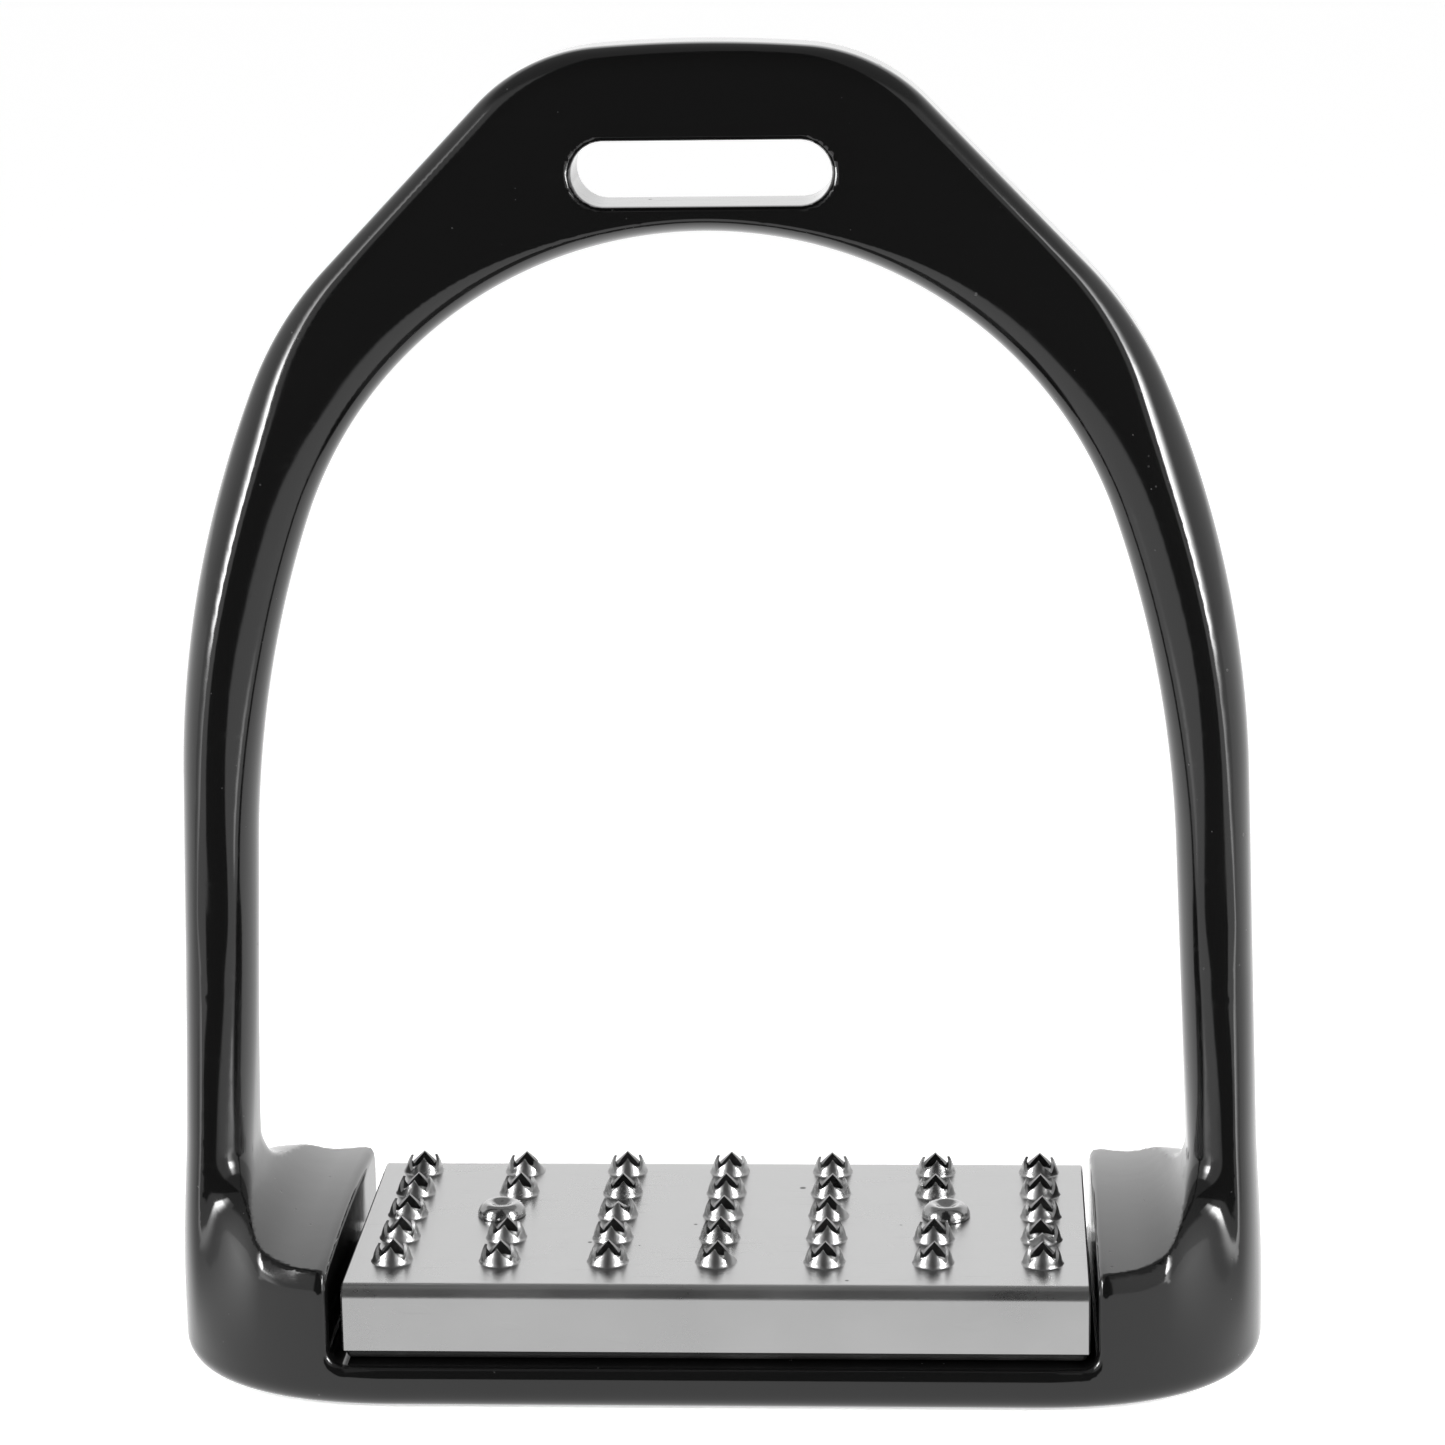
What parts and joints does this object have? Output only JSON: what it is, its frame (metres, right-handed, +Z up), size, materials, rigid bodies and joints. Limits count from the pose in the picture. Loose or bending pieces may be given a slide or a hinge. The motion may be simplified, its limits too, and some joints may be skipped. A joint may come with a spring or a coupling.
{
  "type": "stirrup iron",
  "caption": "Wide-track stirrup iron: black coated cast arch and footplate with a slot for the leather and a folded steel tread of punched teeth, riveted in a recess.",
  "frame": {"origin": "centre of the footplate's flat underside", "axes": "+Z up towards the leather slot, +X across the tread, +Y through the arch, front to back"},
  "size_m": [0.14, 0.052, 0.1688],
  "materials": {
    "gloss_black_coat": "gloss",
    "steel_sheet": "bright rolled",
    "black_rubber": "matte",
    "rivet_steel": "bright plated"
  },
  "bodies": {
    "root": {"frame": "gloss_black_coat", "tread_plate": "steel_sheet", "tread_insert": "black_rubber", "rivet_left": "rivet_steel", "rivet_right": "rivet_steel"}
  },
  "joints": []
}
